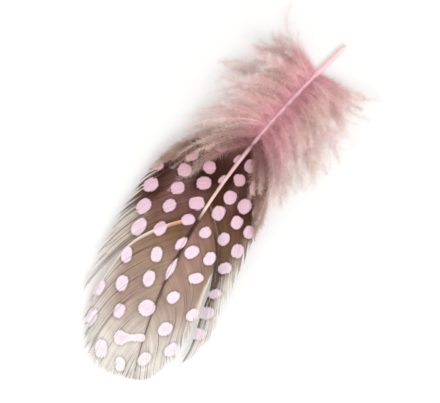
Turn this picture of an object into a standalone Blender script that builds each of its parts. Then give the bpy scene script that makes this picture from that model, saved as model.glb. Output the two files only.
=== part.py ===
"""A guinea fowl's body feather, lying on a flat surface with its upper side up.

Metres, +Z up. The origin is on the surface, under the middle of the bare quill, and +Y runs to the tip.
A place on the feather is given by three values: how far along the shaft it is, how far out from the shaft
(left is positive, right is negative) and its height above the surface.
"""

import math
from typing import NamedTuple

import bmesh
import bpy
import numpy as np

MM = 0.001

# The shaft's own line, seen from above: its length, and how its heading turns to the left along it.
LENGTH = 100 * MM
ORIGIN_AT = 4 * MM
FIRST_HEADING = math.radians(-14)
TURN_PER_METRE = math.radians(150)
TURN_GAIN = math.radians(2000)

# The shaft's line, seen from the side: flat under the quill, then one long arch down to the tip.
ARCH_FROM = 7 * MM
ARCH_HEIGHT = 4.6 * MM
ARCH_SKEW = 1.2
TIP_HEIGHT = 0.14 * MM

# The shaft's cross-section: eight sides, with one of them flat on the surface.
SHAFT_SIDES = 8
SHAFT_RINGS = 30
ARCH_RINGS_FROM = 9 * MM
SHAFT_END = 97.5 * MM
# Stations along the shaft, and the radius at each.
RADIUS_AT = np.array([0, 0.7, 2, 10, 14, 34, 60, 85, 97.5]) * MM
RADIUS = np.array([0.36, 0.60, 0.75, 0.75, 0.68, 0.56, 0.42, 0.26, 0.17]) * MM
FLAT_SHARE = math.cos(math.pi / SHAFT_SIDES)


class Vane(NamedTuple):
    """One side's vane: its greatest width and where that is, how blunt its tip is, and how far it droops."""

    sign: int
    width: float
    widest_at: float
    back: float
    bluntness: float
    droop: float


class Split(NamedTuple):
    """A place where a vane has come unzipped: its bundle edge, where along the barb it starts, its width
    at the margin, how many of the barbs on the tip's side it pulls with it, and how far the barbs on the
    quill's side are drawn out past it."""

    bundle: int
    start: float
    width: float
    spread: float = 0.06
    drawn: float = 0.0


# The two vanes. Each is a sheet of barb bundles between the shaft and a rounded margin.
VANES = {
    "left": Vane(1, 15.8 * MM, 74 * MM, 48 * MM, 2.0, 0.50),
    "right": Vane(-1, 17.7 * MM, 80 * MM, 95 * MM, 2.8, 0.55),
}
FIRST_BARB = 31 * MM
LAST_BARB = 95.5 * MM
MARGIN_FROM = 50 * MM
MARGIN_SAMPLES = 400
# The barbs near the quill end farther apart along the margin than those near the tip.
END_SPACING_GAIN = 0.45
# A barb leaves the shaft at one angle to it and ends at another, and both close up near the tip.
LEAVE_DEGREES = 52
LEAVE_DEGREES_AT_TIP = 14
ARRIVE_DEGREES = 22
ARRIVE_DEGREES_AT_TIP = 4
CLOSES_UP_FROM = 0.72
BUNDLES = 26
POINTS_ALONG = 8
VANE_ROOT_DEPTH = 0.1 * MM
THICKNESS_AT_MARGIN = 0.26 * MM
THICKER_AT_SHAFT = 0.24 * MM
RIDGE_HEIGHT = 0.09 * MM
VALLEY_END = 0.955

SPLITS = {
    "left": (
        Split(6, 0.72, 0.9 * MM),
        Split(9, 0.34, 6.0 * MM, 1.2, 18.0 * MM),
        Split(21, 0.66, 0.8 * MM),
    ),
    "right": (
        Split(10, 0.50, 3.2 * MM, 0.20, 3.0 * MM),
        Split(17, 0.76, 0.9 * MM),
        Split(22, 0.62, 0.9 * MM),
    ),
}
QUILL_SIDE_SPREAD = 0.10
TIP_SIDE_PUSH = 0.85
# Barbs drawn out this far run inside the outline by this share of its width, and meet it at their ends.
FULLY_DRAWN = 5 * MM
DRAWN_INSET = 0.28
INSET_ENDS_OVER = 0.4
# At the tip of the feather the splits no longer push, over this share of the barbs.
PUSH_FADES_OVER = 0.35

# The down: soft locks on the lower part of the shaft, in three tiers, and the afterfeather under it.
LOCKS_PER_SIDE = 24
FIRST_LOCK = 10 * MM
LAST_LOCK = 34 * MM
# Of the low, middle and high tier: the rise over the shaft, the height of the tips, and the reach's share.
TIERS = ((1.2 * MM, 0.0, 1.0), (3.4 * MM, 2.6 * MM, 0.98), (6.2 * MM, 5.6 * MM, 0.80))
LOCK_REACH = 14 * MM
LOCK_REACH_GAIN = 4 * MM
AFTERFEATHER_LOCKS = 6
AFTERFEATHER_LENGTH = 22 * MM
LOCK_SIDES = 5
LOCK_RINGS = 5
LOCK_WIDTH = 1.05 * MM
LOCK_FLATNESS = 0.5
LOCK_LOWEST = LOCK_WIDTH * LOCK_FLATNESS / 2
LOCK_ROOT_SHARE = 0.35
LOCK_TAPER = 0.88
ABOVE_SURFACE = 0.02 * MM
GOLDEN = 0.6180339887

COLOURS = {"feather": (0.25, 0.16, 0.11, 1.0)}


def smooth(value):
    """0 below 0, 1 above 1, and a soft S between."""
    x = np.clip(value, 0.0, 1.0)
    return x * x * (3 - 2 * x)


def wobble(index, turn):
    """A fixed, uneven value from -1 to 1 for a numbered piece."""
    return 2 * ((index * GOLDEN + turn * 0.377) % 1.0) - 1


def heading(along):
    """The shaft's direction seen from above, from +Y towards -X."""
    return FIRST_HEADING + TURN_PER_METRE * along + TURN_GAIN * along**2


def walk_the_shaft():
    """Samples of the shaft's line from above, as (along, x, y), with the origin at ORIGIN_AT."""
    along = np.linspace(-0.1 * LENGTH, 1.1 * LENGTH, 1201)
    middle = (along[1:] + along[:-1]) / 2
    step = along[1] - along[0]
    x = np.concatenate([[0], np.cumsum(-np.sin(heading(middle)) * step)])
    y = np.concatenate([[0], np.cumsum(np.cos(heading(middle)) * step)])
    x -= np.interp(ORIGIN_AT, along, x)
    y -= np.interp(ORIGIN_AT, along, y)
    return along, x, y


SHAFT_LINE = walk_the_shaft()


def place(along, out, height):
    """The point in space for a place on the feather. All three values may be arrays."""
    stations, xs, ys = SHAFT_LINE
    turn = heading(along)
    x = np.interp(along, stations, xs) - out * np.cos(turn)
    y = np.interp(along, stations, ys) - out * np.sin(turn)
    return np.stack(np.broadcast_arrays(x, y, height), axis=-1)


def shaft_radius(along):
    return np.interp(along, RADIUS_AT, RADIUS)


def shaft_height(along):
    """Height of the shaft's middle: its flat underside lies on the surface as far as ARCH_FROM."""
    share = np.clip((along - ARCH_FROM) / (LENGTH - ARCH_FROM), 0.0, 1.0)
    quill = RADIUS[2] * FLAT_SHARE
    return quill + (TIP_HEIGHT - quill) * share + ARCH_HEIGHT * np.sin(np.pi * share**ARCH_SKEW)


def half_width(vane, along):
    """How far out the margin is at a station along the shaft."""
    ahead = np.clip((along - vane.widest_at) / (LENGTH - vane.widest_at), 0.0, 1.0)
    behind = np.clip((vane.widest_at - along) / vane.back, 0.0, 1.0)
    front = (1 - ahead**vane.bluntness) ** (1 / vane.bluntness)
    return vane.width * front * np.sqrt(1 - behind**2)


def margin(vane, share):
    """The place (along, out) at a share of the margin's own length, from its start to the tip."""
    sweep = np.linspace(0, 1, MARGIN_SAMPLES)
    along = MARGIN_FROM + (LENGTH - MARGIN_FROM) * np.sin(sweep * math.pi / 2)
    out = half_width(vane, along)
    steps = np.hypot(np.diff(along), np.diff(out))
    travelled = np.concatenate([[0], np.cumsum(steps)])
    wanted = share * travelled[-1]
    return np.interp(wanted, travelled, along), np.interp(wanted, travelled, out)


def bezier(p0, p1, p2, p3, t):
    return (1 - t) ** 3 * p0 + 3 * (1 - t) ** 2 * t * p1 + 3 * (1 - t) * t**2 * p2 + t**3 * p3


def barb_place(vane, share, t):
    """The place (along, out) on one barb: share is which barb, t runs from the shaft to the margin."""
    root = FIRST_BARB + (LAST_BARB - FIRST_BARB) * share
    end_along, end_out = margin(vane, share * (1 + END_SPACING_GAIN * (1 - share)))
    reach = np.hypot(end_along - root, end_out)
    near_tip = smooth((share - CLOSES_UP_FROM) / (1 - CLOSES_UP_FROM))
    leave = np.radians(LEAVE_DEGREES + (LEAVE_DEGREES_AT_TIP - LEAVE_DEGREES) * near_tip)
    arrive = np.radians(ARRIVE_DEGREES + (ARRIVE_DEGREES_AT_TIP - ARRIVE_DEGREES) * near_tip)
    first = root + reach / 3 * np.cos(leave), reach / 3 * np.sin(leave)
    second = end_along - reach / 3 * np.cos(arrive), end_out - reach / 3 * np.sin(arrive)
    along = bezier(root, first[0], second[0], end_along, t)
    out = bezier(0.0, first[1], second[1], end_out, t)
    return along, out


def split_shift(side, share, t, lip):
    """How far the open splits push a barb towards the tip, and how far they draw it out along its own run.
    lip is -1 or 1 for the two lips of a split."""
    push = 0.0
    draw = 0.0
    for split in SPLITS[side]:
        away = share - split.bundle / BUNDLES
        tip_side = np.where(np.abs(away) < 1e-9, lip, np.sign(away)) > 0
        opening = smooth((t - split.start) / (1 - split.start))
        fading = np.exp(-np.abs(away) / np.where(tip_side, split.spread, QUILL_SIDE_SPREAD))
        push = push + split.width * opening * fading * np.where(tip_side, TIP_SIDE_PUSH, TIP_SIDE_PUSH - 1)
        draw = draw + split.drawn * opening * fading * np.where(tip_side, 0.0, 1.0)
    return push * smooth((1 - share) / PUSH_FADES_OVER), draw


def vane_place(side, share, t, lip=0):
    """The place (along, out) on a barb with the splits open. Each one pushes it square to its own run."""
    vane = VANES[side]
    along, out = barb_place(vane, share, t)
    next_along, next_out = barb_place(vane, share, t + 0.01)
    way = np.arctan2(next_out - out, next_along - along)
    push, draw = split_shift(side, share, t, lip)
    along = along + push * np.sin(way) + draw
    out = out - push * np.cos(way)
    # What is drawn out stays inside the outline that the whole vane had.
    drawn = np.clip(draw / FULLY_DRAWN, 0.0, 1.0)
    inset = DRAWN_INSET * drawn * smooth((1 - t) / INSET_ENDS_OVER)
    inside = half_width(vane, np.minimum(along, LENGTH)) * (1 - inset)
    return along, np.where(draw > 0, np.minimum(out, inside), out)


def vane_height(vane, along, out):
    """Height of a vane's middle surface: it droops from the shaft to the margin."""
    edge = np.clip(out / vane.width, 0.0, 1.0)
    return TIP_HEIGHT + (shaft_height(along) - TIP_HEIGHT) * (1 - vane.droop * edge**2)


def material(name):
    """A plain Principled material in the part's own colour."""
    made = bpy.data.materials.new(name)
    made.use_nodes = True
    shader = made.node_tree.nodes["Principled BSDF"]
    shader.inputs["Base Color"].default_value = COLOURS[name]
    shader.inputs["Roughness"].default_value = 0.6
    shader.inputs["Metallic"].default_value = 0.0
    return made


def object_of(name, shape):
    """Turns a closed bmesh into an object, with its faces pointing out."""
    bmesh.ops.recalc_face_normals(shape, faces=shape.faces)
    mesh = bpy.data.meshes.new(name)
    shape.to_mesh(mesh)
    shape.free()
    made = bpy.data.objects.new(name, mesh)
    bpy.context.scene.collection.objects.link(made)
    return made


def sweep(rings):
    """A closed bmesh through rings of points, each capped at both ends."""
    shape = bmesh.new()
    loops = [[shape.verts.new(point) for point in ring] for ring in rings]
    count = len(loops[0])
    for near, far in zip(loops, loops[1:]):
        for i in range(count):
            k = (i + 1) % count
            shape.faces.new((near[i], near[k], far[k], far[i]))
    shape.faces.new(loops[0])
    shape.faces.new(loops[-1])
    return shape


def make_shaft():
    """The quill and shaft, one tapering piece from the cut end to near the tip."""
    quill = [*RADIUS_AT[:3], ARCH_FROM]
    stations = np.concatenate([quill, np.linspace(ARCH_RINGS_FROM, SHAFT_END, SHAFT_RINGS)])
    turns = (np.arange(SHAFT_SIDES) + 0.5) * 2 * math.pi / SHAFT_SIDES - math.pi / 2
    rings = []
    for along in stations:
        radius = shaft_radius(along)
        height = shaft_height(along) + radius * np.sin(turns)
        rings.append(place(along, radius * np.cos(turns), height))
    return object_of("feather", sweep(rings))


def vane_corner(side, line, step, lip, face):
    """A corner of the vane's sheet: a bundle's edge or ridge, a step along it, and the top or underside."""
    t = step / (POINTS_ALONG - 1)
    share = line / (2 * BUNDLES)
    ridge = line % 2
    reach = t * (1.0 if ridge else VALLEY_END)
    along, out = vane_place(side, share, reach, lip)
    thick = THICKNESS_AT_MARGIN + THICKER_AT_SHAFT * (1 - t) * (1 - share)
    height = vane_height(VANES[side], along, out) + ridge * RIDGE_HEIGHT * smooth(3 * t)
    lowest = thick if face > 0 else 0.0
    raised = max(height + face * thick / 2, lowest)
    return place(along, VANES[side].sign * (out - VANE_ROOT_DEPTH), raised)


def close_rim(shape, below):
    """Joins the top and the underside around the sheet's rim. below gives each vertex's other side."""
    for edge in [edge for edge in shape.edges if len(edge.link_faces) == 1]:
        a, b = edge.verts
        if len(edge.link_faces) == 1:
            shape.faces.new((a, b, below[b], below[a]))


def make_vane(side):
    """One vane as a closed sheet, with a ridge and a pointed end on each bundle, and its open splits."""
    gaps = {2 * split.bundle: split.start for split in SPLITS[side]}
    shape = bmesh.new()
    made = {}

    def corner(line, step, lip, face):
        split_here = line in gaps and step / (POINTS_ALONG - 1) > gaps[line]
        key = (line, step, lip if split_here else 0, face)
        if key not in made:
            made[key] = shape.verts.new(vane_corner(side, *key))
        return made[key]

    for line in range(2 * BUNDLES):
        for step in range(POINTS_ALONG - 1):
            for face in (1, -1):
                near = corner(line, step, 1, face), corner(line, step + 1, 1, face)
                far = corner(line + 1, step, -1, face), corner(line + 1, step + 1, -1, face)
                shape.faces.new((near[0], far[0], far[1], near[1]))
    close_rim(shape, {vertex: made[(*key[:3], -key[3])] for key, vertex in made.items()})
    return object_of(f"{side}_vane", shape)


def lock_course(number, sign, t):
    """The middle line of one lock of down, as places (along, out, height)."""
    share = number / (LOCKS_PER_SIDE - 1)
    root = FIRST_LOCK + (LAST_LOCK - FIRST_LOCK) * share
    turn = 0 if sign > 0 else 5
    rise, tip_height, shorter = TIERS[number % len(TIERS)]
    reach = (LOCK_REACH + LOCK_REACH_GAIN * math.sin(math.pi * share)) * shorter
    reach *= 1 + 0.12 * wobble(number, turn + 1)
    forward = (2.5 + 11.0 * share + 1.8 * wobble(number, turn + 2)) * MM
    top = shaft_height(root) + rise + 0.6 * MM * wobble(number, turn + 3)
    end = LOCK_LOWEST + tip_height * (1 + 0.2 * wobble(number, turn + 4))
    along = bezier(root, root + 0.05 * forward, root + 0.50 * forward, root + forward, t)
    out = bezier(0.0, 0.35 * reach, 0.80 * reach, reach, t)
    height = bezier(shaft_height(root), top, (top + end) / 2, end, t)
    return along, sign * out, np.maximum(height, LOCK_LOWEST)


def afterfeather_course(number, sign, t):
    """The middle line of one lock of the afterfeather, which fans out flat under the down."""
    fan = (number + 0.5) / AFTERFEATHER_LOCKS
    angle = math.radians(8 + 66 * fan)
    length = AFTERFEATHER_LENGTH * (1 - 0.22 * fan) * (1 + 0.07 * wobble(number, 3 + sign))
    root = FIRST_LOCK + 1.0 * MM * (1 - fan)
    bend = math.radians(10) * (1 - t)
    along = root + length * t * np.cos(angle + bend)
    out = length * t * np.sin(angle + bend)
    height = bezier(shaft_height(root), shaft_height(root) * 0.8, LOCK_LOWEST, LOCK_LOWEST, t)
    return along, sign * out, height


def make_lock(name, course, number, sign):
    """One lock as a flattened, tapering tuft that starts inside the shaft."""
    turns = np.arange(LOCK_SIDES) * 2 * math.pi / LOCK_SIDES + math.pi / 2
    rings = []
    for t in np.linspace(0, 1, LOCK_RINGS):
        along, out, height = course(number, sign, t)
        further = course(number, sign, t + 0.01)
        way = math.atan2(further[1] - out, further[0] - along)
        root = LOCK_ROOT_SHARE + (1 - LOCK_ROOT_SHARE) * smooth(3 * t)
        width = LOCK_WIDTH * root * (1 - LOCK_TAPER * t**2.5)
        across = width * np.cos(turns)
        lowest = ABOVE_SURFACE if height > LOCK_LOWEST else 0.0
        raised = np.maximum(height + width * LOCK_FLATNESS * np.sin(turns), lowest)
        rings.append(place(along - across * math.sin(way), out + across * math.cos(way), raised))
    return object_of(name, sweep(rings))


def grow_on(shaft, pieces):
    """Joins the pieces with the shaft into one body."""
    grown = bpy.data.collections.new("grown_on_the_shaft")
    bpy.context.scene.collection.children.link(grown)
    for piece in pieces:
        bpy.context.scene.collection.objects.unlink(piece)
        grown.objects.link(piece)
        piece.hide_render = True
        piece.display_type = "WIRE"
    join = shaft.modifiers.new("join", "BOOLEAN")
    join.operation = "UNION"
    join.operand_type = "COLLECTION"
    join.collection = grown
    join.solver = "EXACT"


def main():
    for old in list(bpy.data.objects):
        bpy.data.objects.remove(old)
    feather = make_shaft()
    pieces = [make_vane(side) for side in VANES]
    for sign in (1, -1):
        pieces += [make_lock("lock", lock_course, number, sign) for number in range(LOCKS_PER_SIDE)]
        pieces += [
            make_lock("afterfeather_lock", afterfeather_course, number, sign)
            for number in range(AFTERFEATHER_LOCKS)
        ]
    grow_on(feather, pieces)
    feather.data.materials.append(material("feather"))


main()
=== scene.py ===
"""The looks of a guinea fowl's body feather: every barb of its vanes, its glossy shaft and its down.

Metres, +Z up, +Y towards the tip. A place on the feather is how far along the shaft it is, how far out from
the shaft (left is positive) and its height. The formulas for these places are the same as the solid's.
Which barb of a vane it is goes from 0 at the quill to 1 at the tip, and how far along a barb from 0 at the
shaft to 1 at its end. A change along something is given as where it starts and how far it takes.
"""

import math
from typing import NamedTuple

import bpy
import numpy as np
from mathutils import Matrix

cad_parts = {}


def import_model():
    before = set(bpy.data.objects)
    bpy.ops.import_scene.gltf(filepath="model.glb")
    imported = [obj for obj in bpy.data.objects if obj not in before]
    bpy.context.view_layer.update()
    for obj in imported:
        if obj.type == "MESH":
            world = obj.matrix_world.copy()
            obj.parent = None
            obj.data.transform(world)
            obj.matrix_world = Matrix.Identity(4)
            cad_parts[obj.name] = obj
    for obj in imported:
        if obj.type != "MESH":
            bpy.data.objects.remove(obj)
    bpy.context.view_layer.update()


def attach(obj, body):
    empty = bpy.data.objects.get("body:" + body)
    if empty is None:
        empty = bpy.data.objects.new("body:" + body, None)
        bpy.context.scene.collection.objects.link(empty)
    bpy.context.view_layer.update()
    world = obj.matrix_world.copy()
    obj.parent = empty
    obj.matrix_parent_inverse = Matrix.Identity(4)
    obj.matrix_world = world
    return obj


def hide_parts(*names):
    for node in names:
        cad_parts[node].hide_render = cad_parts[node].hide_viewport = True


MM = 0.001
UP = np.array([0.0, 0.0, 1.0])

# The shaft's line from above and from the side.
LENGTH = 100 * MM
ORIGIN_AT = 4 * MM
FIRST_HEADING = math.radians(-14)
TURN_PER_METRE = math.radians(150)
TURN_GAIN = math.radians(2000)
ARCH_FROM = 7 * MM
ARCH_HEIGHT = 4.6 * MM
ARCH_SKEW = 1.2
TIP_HEIGHT = 0.14 * MM
# The shaft's radius at places along it. Towards the tip it is finer than the solid's.
RADIUS_AT = np.array([0, 0.7, 2, 10, 14, 34, 45, 60, 85, 97.5]) * MM
RADIUS = np.array([0.36, 0.60, 0.75, 0.75, 0.68, 0.54, 0.43, 0.34, 0.18, 0.08]) * MM
QUILL_HEIGHT = 0.75 * MM * math.cos(math.pi / 8)
SHAFT_END = 97.5 * MM
SHAFT_POINT = 0.4 * MM
SHAFT_SIDES = 24
SHAFT_RINGS = 240
# The shaft is slightly square, by this share of its radius.
SHAFT_SQUARE = 0.03
# The quill's cut end and what is seen in it, as rings: how far along, and what share of the radius.
QUILL_HOLE = ((2.4 * MM, 0.05), (1.6 * MM, 0.40), (0.25 * MM, 0.62), (0.0, 0.80))
QUILL_RIM = (0.0, 0.2 * MM)
QUILL_WALL = 0.7 * MM
# The groove under the shaft: its depth as a share of the radius, half its width in radians, and where.
GROOVE_DEPTH = 0.16
GROOVE_WIDTH = 0.3
GROOVE_STARTS = (9 * MM, 8 * MM)
# How far the shaft keeps from the edges of its UV map.
SHAFT_UV_EDGE = 0.01


class Vane(NamedTuple):
    """One side's vane: its greatest width and where, how far it tapers back, its blunt tip and its droop."""

    sign: int
    width: float
    widest_at: float
    back: float
    bluntness: float
    droop: float


class Band(NamedTuple):
    """Barbs beside a wide split that look different: from which one, and over what share of the vane's.

    Amount is how dark the painted shadow on the dark ones is, and from where along them the bare ones are
    bare.
    """

    share: float
    over: float
    amount: float


class Split(NamedTuple):
    """A place where a vane has come unzipped: on which barb, from where along it, and how wide at its end.

    Spread is what share of the vane's barbs it pulls with it on the tip's side. Drawn is how far it draws
    those on the quill's side out along the shaft.
    """

    share: float
    start: float
    width: float
    spread: float = 0.06
    drawn: float = 0.0


VANES = {
    "left": Vane(1, 15.8 * MM, 74 * MM, 48 * MM, 2.0, 0.50),
    "right": Vane(-1, 17.7 * MM, 80 * MM, 95 * MM, 2.8, 0.55),
}
FIRST_BARB = 31 * MM
LAST_BARB = 95.5 * MM
MARGIN_FROM = 50 * MM
MARGIN_SAMPLES = 400
END_SPACING_GAIN = 0.45
LEAVE_DEGREES = 52
LEAVE_DEGREES_AT_TIP = 14
ARRIVE_DEGREES = 22
ARRIVE_DEGREES_AT_TIP = 4
CLOSES_UP_FROM = 0.72
BUNDLES = 26
SPLITS = {
    "left": [
        Split(6 / BUNDLES, 0.72, 0.9 * MM),
        Split(9 / BUNDLES, 0.34, 6.0 * MM, 1.2, 18.0 * MM),
        Split(21 / BUNDLES, 0.66, 0.8 * MM),
    ],
    "right": [
        Split(10 / BUNDLES, 0.50, 3.2 * MM, 0.20, 3.0 * MM),
        Split(17 / BUNDLES, 0.76, 0.9 * MM),
        Split(22 / BUNDLES, 0.62, 0.9 * MM),
    ],
}
QUILL_SIDE_SPREAD = 0.10
TIP_SIDE_PUSH = 0.85
PUSH_FADES_OVER = 0.35
# A barb that a split draws out this far is a loose wisp. It stays inside the outline that the vane had, by
# this share of the width, which goes down to none over the last part of the barb.
FULLY_DRAWN = 5 * MM
WISP_INSET = 0.28
INSET_ENDS_OVER = 0.4
OUTLINE_SLACK = 0.9 * MM
LEAST_OUTLINE = 2 * MM
# A barb that is less of a wisp than this isn't held in.
LEAST_WISP = 0.02

# The barbs of a vane. Each is a ribbon with a raised middle, which narrows to a hair at its free end.
BARBS = 190
BARBS_UNEVEN = 0.18
# Where a wide split draws barbs out there are more of them: between which barbs, and how many more.
MORE_BARBS = {"left": (7 / BUNDLES, 9 / BUNDLES, 34), "right": (9 / BUNDLES, 10 / BUNDLES, 6)}
BARB_STEPS = 80
SEEDS = {"spots": 7, "left": 11, "right": 23, "down_left": 31, "down_right": 43, "afterfeather": 59}
# A ribbon is this much wider than the space to its neighbours, so that no crack shows.
COVER = 1.34
WIDEST_RIBBON = 0.55 * MM
WIDEST_ON_WISPS = 0.60 * MM
HAIR_WIDTH = 0.12 * MM
HAIR_TAPER = 1.5
RIDGE_LIFT = 0.05 * MM
FLATTER_WHEN_FREE = 0.6
# From where along it a barb is free of its neighbours and narrows.
FREE_FROM = 0.87
FREE_FROM_AT_TIP = 0.93
FREE_FROM_ON_WISPS = 0.86
FREE_LATER_TO_TIP = (0.45, 0.5)
FREE_UNEVEN = 0.06
FREE_LATER_BY_SPLIT = 0.05
NARROWING = 1.1
# How unevenly high the barbs lie, from their roots on, and their free ends.
BARB_HEIGHTS = 0.03 * MM
BARB_ROOT_END = 0.25
FREE_HEIGHTS = 0.40 * MM
# The barbs gather into tufts: how many to a tuft, how closely, from where, and how uneven their ends are.
TUFT_BARBS = (3, 10)
TUFT_GATHERS = (0.25, 0.85)
TUFT_FROM = (0.50, 0.86)
TUFT_ENDS_UNEVEN = 0.035
OWN_END_UNEVEN = 0.03
# Near the tip the barbs are more even than elsewhere, by this share.
EVEN_AT_TIP = 0.75
EVEN_TO_TIP = (0.55, 0.3)
ABOVE_SURFACE = 0.03 * MM
# Each ribbon has a strip of the UV map: where it starts in it, and how far it goes.
RIBBON_LEFT = 0.08
RIBBON_HALF = 0.42
RIBBON_LOW = 0.004
RIBBON_LONG = 0.992

# How light and dark the barbs are. On the tip's side of each wide split they are bare and pale, and on the
# quill's side they are darkened with painted shadow where it opens, the shade in its crack. Wisps are dark
# up to where their ends pale.
BARE_BARBS = {"left": Band(9 / BUNDLES, 0.062, 0.58), "right": Band(10 / BUNDLES, 0.015, 0.05)}
BARE_OVER = 0.06
SHADOWED_LIPS = {"left": Band(9 / BUNDLES, 0.050, 1.0), "right": Band(10 / BUNDLES, 0.012, 0.35)}
LIP_SHADOW_STARTS = (0.15, 0.2)
LIP_SHADOW_ENDS = (0.60, 0.25)
WISP_DARK = 0.90
WISP_END_PALES = (0.60, 0.26)
# Single dark barbs, painted shade for the shadowed cracks and overlaps between barbs: what share of all, how
# dark, and from where along them.
SHADED_BARB_SHARE = 0.10
SHADED_BARB = 0.75
SHADED_BARB_STARTS = (0.25, 0.2)
# The barbs are dark right beside the shaft, from halfway up the vane, and less so near the tip.
DARK_ROOTS = 0.5 * MM
DARK_ROOTS_UNEVEN = 0.7
ROOT_PATCHES = (70, 2)
DARK_ROOTS_START = (54 * MM, 4 * MM)
DARK_ROOTS_FADE = 0.6
DARK_ROOTS_FADE_FROM = (66 * MM, 20 * MM)
DARK_ROOT = 1.2
# The vanes pale along the shaft, the left one a little earlier and more so further out, the right one less.
DARKER_FURTHER_OUT = {"left": -0.15, "right": 0.14}
PALES_EARLIER = {"left": 0.014, "right": -0.024}
PALES_EARLIER_ENDS = (60 * MM, 10 * MM)
# From where along a barb it pales towards its end, and how much later that is at the vane's base. Barbs
# outside this share pale less, and so do wisps.
THINS_FROM = {"left": 0.55, "right": 0.46}
THINS_OVER = 0.42
THINS_LATER_AT_BASE = 0.38
BASE_ENDS = (0.12, 0.16)
PALE_HAIR_SHARE = 0.80
LEAST_PALE = 0.25
WISP_LESS_PALE = 0.3
# How much the tone varies from tuft to tuft, from barb to barb and in soft patches, and how many patches
# there are across the barbs and along them.
TUFT_TONE = 0.20
BARB_TONE = 0.16
PATCH_TONE = 0.24
TONE_PATCHES = (34, 5)
ROSE_PATCHES = (12, 6)
# How long a barb counts as for the fine lines across it, how far apart those are, and their bump.
RUN_PER_BARB = 28
BARBULE_SPACING = 0.12
CHEVRON_STRENGTH = 0.25
CHEVRON_DEPTH = 0.02 * MM

# The spots, as their places along and out from the shaft in mm. Left is positive.
SPOTS_RIGHT = [
    (39, 5.5), (44.5, 4.5), (48.5, 3.5), (53.5, 2.5), (58, 2), (69, 5), (75, 4), (40, 11), (44.5, 10),
    (48.5, 9.5), (53, 8.5), (57.5, 8), (63, 7), (46, 15), (51, 16), (55.5, 14.5), (60.5, 13.5), (65.5, 12),
    (72.5, 11), (78.5, 9.5), (85, 8), (81.5, 14.5), (88, 14), (94.5, 9.5), (97, 4),
]
SPOTS_LEFT = [
    (38.5, 3), (43, 3), (48, 3.5), (53, 3.5), (58.5, 3), (64.5, 2.5), (77, 3.5), (85, 4.5), (94.5, 1.5),
    (42, 7.5), (47.5, 7.5), (52, 8), (57.5, 8), (63.5, 7.5), (70, 6.5), (90, 7.5), (46.5, 11.5), (52.5, 12),
    (58.5, 12), (64, 12), (71.5, 12), (79, 9.5), (77.5, 13), (84, 13.5),
]
SPOT_RADIUS = 1.6 * MM
SPOT_SIZE_UNEVEN = 0.06
# A roundness a little over 2 makes an oval slightly square, as spots made of barbs are.
SPOT_ROUNDNESS = 2.3
# How much longer than round the ovals are: at least, by chance, and further along the feather.
SPOT_STRETCH = 1.04
SPOT_STRETCH_UNEVEN = 0.10
SPOT_STRETCH_FURTHER = 0.13
SPOT_NARROWING = 0.6
# How the ovals turn from the shaft's run on the left (1) and the right (-1), and where that changes in mm.
SPOT_TURN = {1: math.radians(12), -1: math.radians(-58)}
SPOT_TURN_AT_TIP = {1: math.radians(-26), -1: math.radians(6)}
SPOT_TURN_UNEVEN = math.radians(12)
SPOT_CHANGES = (52, 16)
SPOT_NUDGE = 0.2 * MM
# The spots' edges are stepped from barb to barb, and uneven in patches, in mm.
SPOT_STEPS = 0.12 * MM
SPOT_EDGE_UNEVEN = 0.10
SPOT_EDGE_PATCHES = (60, 16)
# Those that are odd: where, half their length and width, their turn from the shaft's run in degrees, and
# their roundness: 2 is an oval, more is squarer, and less has pointed ends.
ODD_SPOTS = [
    (81.7, -1.7, 2.1, 1.95, -30, 2.3),
    (70.5, 0.0, 3.0, 0.85, -4, 1.5),
    (63.8, -0.8, 2.0, 1.05, -14, 1.8),
    (45.2, -0.6, 1.3, 0.7, -10, 2.0),
    (39.0, -0.6, 1.3, 0.7, -10, 2.0),
]
# Two spots that have run together across the barbs: the ends of their middle line and the radius at each.
MERGED_FROM = (90.7, -5.4)
MERGED_TO = (89.2, -0.6)
MERGED_RADII = (1.85, 1.05)
MERGED_WAIST = 0.42
MERGED_WAIST_SHARPNESS = 1.5
# The spots reach this far down the shaft's sides. Below that a place counts as this many mm from any spot.
SPOTS_DOWN_TO = -0.2
NO_SPOT = 9.0

# The down, as barbs that follow the solid's locks.
LOCKS_PER_SIDE = 24
FIRST_LOCK = 10 * MM
LAST_LOCK = 34 * MM
TIERS = ((1.2 * MM, 0.0, 1.0), (3.4 * MM, 2.6 * MM, 0.98), (6.2 * MM, 5.6 * MM, 0.80))
LOCK_REACH = 14 * MM
LOCK_REACH_GAIN = 4 * MM
AFTERFEATHER_LOCKS = 6
AFTERFEATHER_LENGTH = 22 * MM
LOCK_LOWEST = 0.2625 * MM
GOLDEN = 0.6180339887
# The loose tufts at the vane's base follow its first barbs, up to this share, and lie some mm above them.
BASE_TUFTS = 10
BASE_TUFTS_TO = 0.045
BASE_TUFTS_CROWD = 1.3
BASE_LIFT = 0.30
BASE_LIFT_FALLS = 0.25
BASE_LOOSE = 0.35
# Where the locks turn brown, as a share of them all, and how brown the last one is.
BROWN_FROM = (0.70, 0.30)
BROWNEST_LOCK = 0.75
DOWN_BARBS_PER_LOCK = 7
DOWN_STEPS = 24
DOWN_LENGTHS = (0.70, 1.06)
DOWN_LOWEST = 0.12 * MM
# How much a barb of down strays from its lock: along, out and up, and its wave and curl.
STRAYS = np.array([3.0, 1.2, 1.2]) * MM
STRAYS_LIMIT = 2
WAVE = (0.3 * MM, 1.2 * MM)
WAVE_TURNS = (4, 10)
WAVE_STARTS = (0, 6)
WAVE_UP = 0.6
CURL = 3.0 * MM
CURL_LIMIT = 1.6
CURL_INWARDS = 0.4
# The first locks also spread back around the quill, this far.
SPREADS_BACK = 5 * MM
SPREADS_UNEVEN = (0.0, 1.2)
SPREADING_LOCKS = 7
# The stem of a barb of down is a flat strip. Its side hairs are bent strips of five points, which lean from
# its run by these degrees, and past their bend by this share of that.
RAMUS_WIDTH = 0.10 * MM
RAMUS_TAPER = 0.25
BARBULES_PER_BARB = 210
BARBULES_FROM = 0.02
BARBULES_OVER = 0.97
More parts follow.
